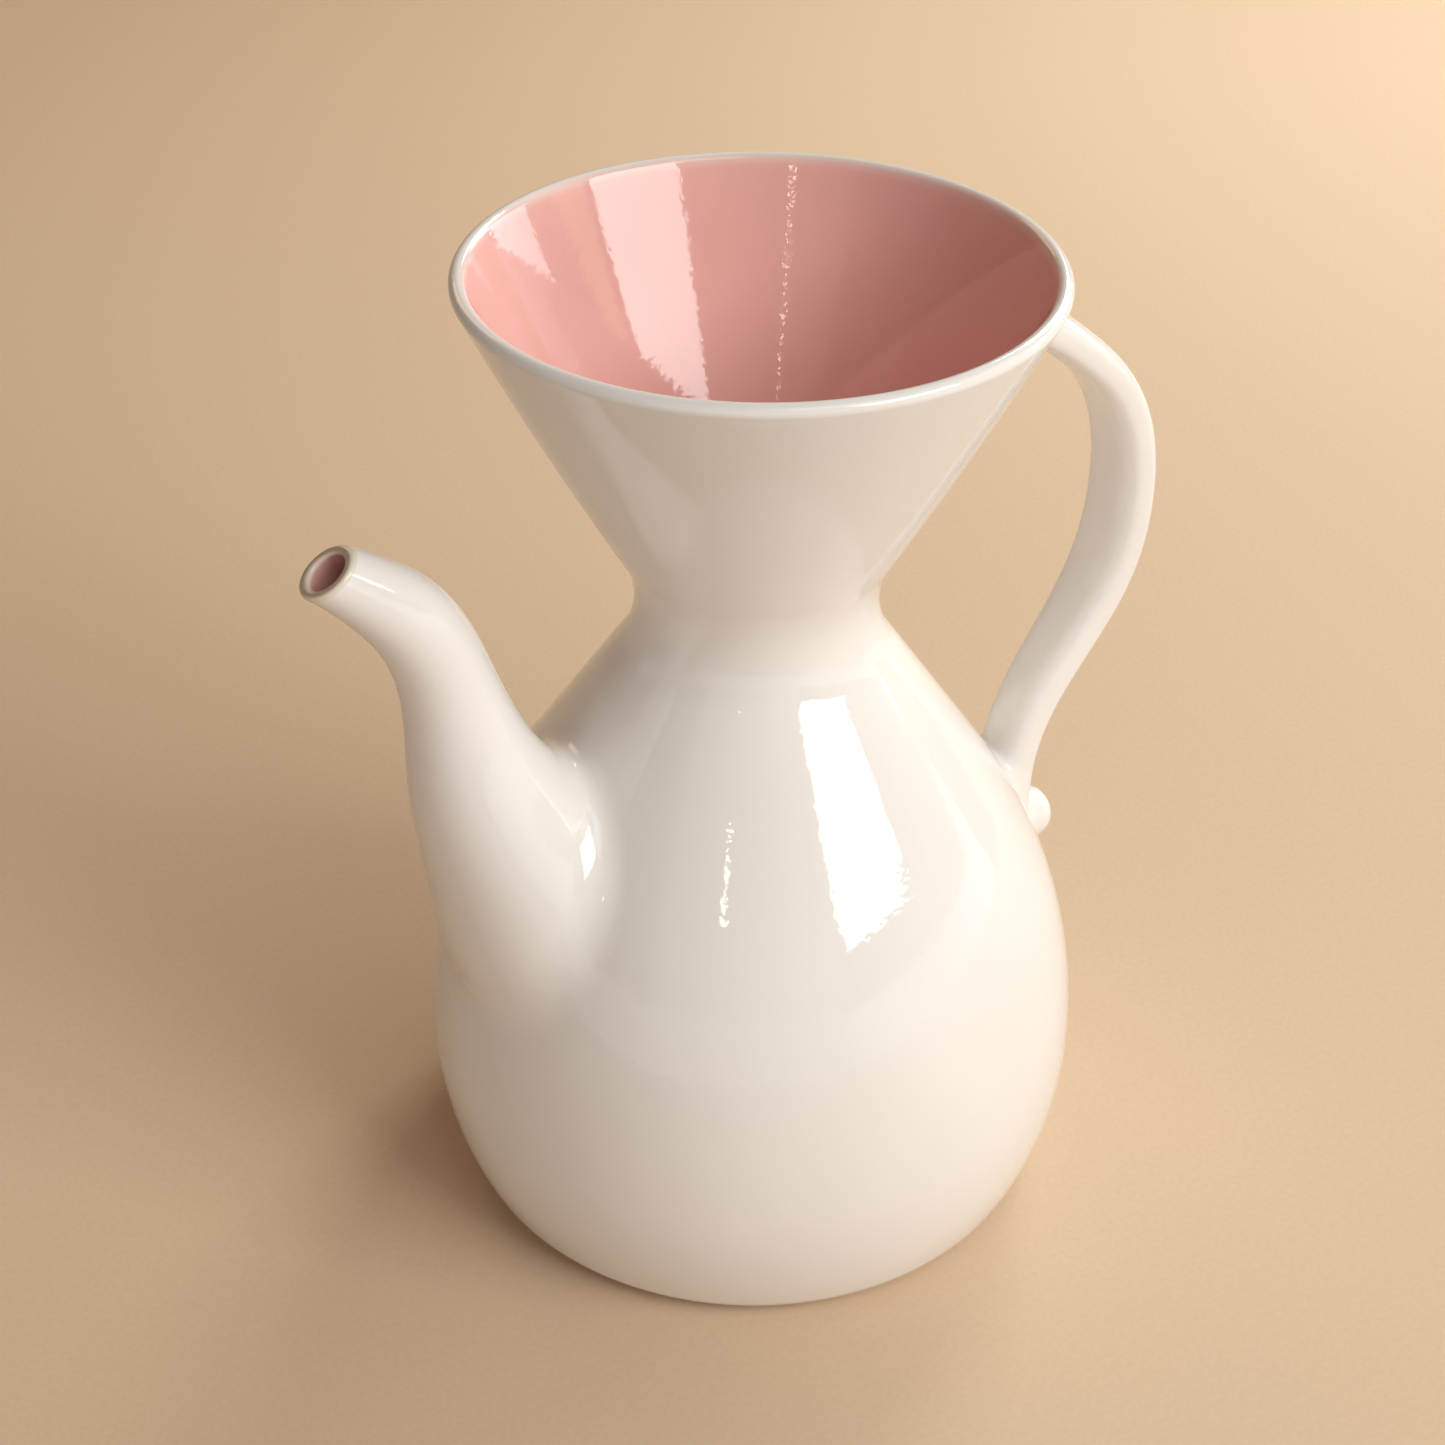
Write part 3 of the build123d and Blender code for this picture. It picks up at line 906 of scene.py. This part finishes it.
def mouth_clay_and_painted_highlight():
    """The lip of the spout: tan clay with a pale inner edge, and a cream outer edge that is a painted
    highlight line.
    """
    material, tree, shader = new_material("mouth_clay_and_painted_highlight", "bare_clay")
    vector = glaze_surface(tree, shader, 0.15)
    distance = tree.nodes.new("ShaderNodeVectorMath")
    distance.operation = "DISTANCE"
    distance.inputs[1].default_value = (spout_line[0][0] * MM, 0, spout_line[0][1] * MM)
    tree.links.new(vector, distance.inputs[0])
    place = tree.nodes.new("ShaderNodeMapRange")
    place.inputs["From Min"].default_value = (spout_tip_radius - spout_wall) * MM
    place.inputs["From Max"].default_value = spout_tip_radius * MM
    tree.links.new(distance.outputs["Value"], place.inputs["Value"])
    # The cream stop at the outer edge is a painted highlight line along the lip's rounded outer edge.
    tint = ramp(tree, place.outputs["Result"], zip((0.12, 0.38, 0.72, 0.97), mouth_tints_and_painted_highlight))
    tree.links.new(tint, shader.inputs["Base Color"])
    return material


# ------------------------------------------------------------------ floor, lights and camera
def floor_paper():
    """Warm matt paper."""
    material, tree, shader = new_material("floor_paper", "")
    vector = object_vector(tree)
    tint = tinted(tree, noise(tree, vector, 700.0, 3.0), floor_tints)
    tree.links.new(tint, shader.inputs["Base Color"])
    shader.inputs["Roughness"].default_value = 0.8
    shader.inputs["Specular IOR Level"].default_value = 0.1
    return material


def make_floor():
    """A level sheet that ends close in front of the pot and curves up far behind it, in metres."""
    turn = radians(-camera_azimuth)
    back = unit(pi / 2 - turn)
    side = unit(-turn)
    front = -0.55
    start = 1.3
    bend = 0.6
    top = 2.4
    left, right = -1.6, 1.8
    rise = np.linspace(0, pi / 2, 20)
    curve = zip(start + bend * np.sin(rise), bend * (1 - np.cos(rise)))
    profile = [(front, 0.0), *curve, (start + bend, top)]
    vertices = [(*(back * along + side * edge), height)
                for edge in (left, right) for along, height in profile]
    count = len(profile)
    faces = [(i, i + 1, count + i + 1, count + i) for i in range(count - 1)]
    mesh = bpy.data.meshes.new("floor")
    mesh.from_pydata(vertices, [], faces)
    mesh.polygons.foreach_set("use_smooth", [True] * len(faces))
    mesh.materials.append(floor_paper())
    floor = bpy.data.objects.new("floor", mesh)
    bpy.context.scene.collection.objects.link(floor)


def make_camera():
    """The camera looks down on the pot from the front, with the spout turned towards it."""
    turn = radians(camera_azimuth)
    data = bpy.data.cameras.new("camera")
    data.lens = camera_lens
    data.sensor_width = 36.0
    data.clip_start = 0.02
    data.clip_end = 20.0
    camera = bpy.data.objects.new("camera", data)
    bpy.context.scene.collection.objects.link(camera)
    place = Vector((sin(turn) * camera_distance, -cos(turn) * camera_distance,
                    total_height * MM + camera_above_rim))
    heading = Matrix.Rotation(turn - radians(camera_pan), 4, "Z")
    tilt = Matrix.Rotation(radians(90 - camera_pitch), 4, "X")
    roll = Matrix.Rotation(radians(camera_roll), 4, "Z")
    camera.matrix_world = Matrix.Translation(place) @ heading @ tilt @ roll
    bpy.context.scene.camera = camera


def panel(name, left, right, low, high, distance, radiance, colour):
    """A flat light that fills a range of directions from the pot.

    left and right are degrees from straight behind the pot, clockwise as seen from above,
    and low and high are degrees above level."""
    turn = radians((left + right) / 2 - camera_azimuth)
    up = radians((low + high) / 2)
    direction = Vector((sin(turn) * cos(up), cos(turn) * cos(up), sin(up)))
    data = bpy.data.lights.new(name, "AREA")
    data.shape = "RECTANGLE"
    data.size = 2 * distance * cos(up) * tan(radians(right - left) / 2)
    data.size_y = 2 * distance * tan(radians(high - low) / 2)
    data.energy = radiance * pi * data.size * data.size_y
    data.color = colour
    light = bpy.data.objects.new(name, data)
    bpy.context.scene.collection.objects.link(light)
    light.location = Vector((0, 0, light_aim)) + direction * distance
    light.rotation_euler = direction.to_track_quat("Z", "Y").to_euler()


def make_lights():
    """Soft windows at the right and behind, and dim walls in front and at the sides.

    Each line gives the range of directions, the distance, the brightness and the colour."""
    panel("key_window", 104, 144, 20, 44, 2.2, 7.5, (1.0, 1.0, 0.98))
    panel("high_front", 125, 170, 44, 66, 1.7, 2.2, (0.92, 1.0, 0.98))
    panel("back_window", 14, 36, 22, 42, 1.25, 9.6, (0.93, 1.0, 0.9))
    panel("low_back_window", 30, 72, 9, 27, 1.25, 4.6, (0.86, 0.87, 0.92))
    panel("side_panel", 74, 102, 22, 42, 1.25, 1.5, (1.0, 0.83, 0.5))
    panel("front_wall", 146, 219, 8, 44, 1.7, 0.42, (1.0, 0.86, 0.8))
    panel("right_low_wall", 68, 146, -8, 8, 1.7, 1.1, (0.9, 0.95, 1.0))
    panel("front_low_wall", 146, 219, -9, 8, 1.7, 0.85, (0.97, 0.95, 0.93))
    panel("left_low_wall", 219, 285, -11, 8, 1.7, 0.7, (0.97, 0.95, 0.92))
    panel("back_left_glow", 320, 340, 20, 40, 2.2, 2.4, (1.0, 0.6, 0.4))
    panel("small_window", 192.0, 193.6, 29.7, 31.4, 4.0, 17.0, (1.0, 0.86, 0.62))


def make_room():
    """A faint warm light from all round."""
    world = bpy.data.worlds.new("studio")
    bpy.context.scene.world = world
    world.use_nodes = True
    background = world.node_tree.nodes["Background"]
    background.inputs["Color"].default_value = (*room_colour, 1)
    background.inputs["Strength"].default_value = 0.13


bpy.context.scene.view_settings.view_transform = "Standard"
white = white_glaze()
pink = pink_glaze()
bare = bare_clay()
make_camera()
make_floor()
make_lights()
make_room()
make_foot_ring(bare)
make_belly(white)
make_wall("waist_luting", waist, 0, clay_wall, white, 28)
make_wall("funnel", funnel_side.part(side_low, band_start), 0, clay_wall, white)
make_wall("funnel_lining", funnel_side.part(side_low, band_start), clay_wall, full_wall, pink)
make_rim(rim_glaze())
make_belly_lining(pink)
make_spout(white)
make_spout_lip(mouth_clay_and_painted_highlight())
make_spout_lining(pink)
make_handle(white)
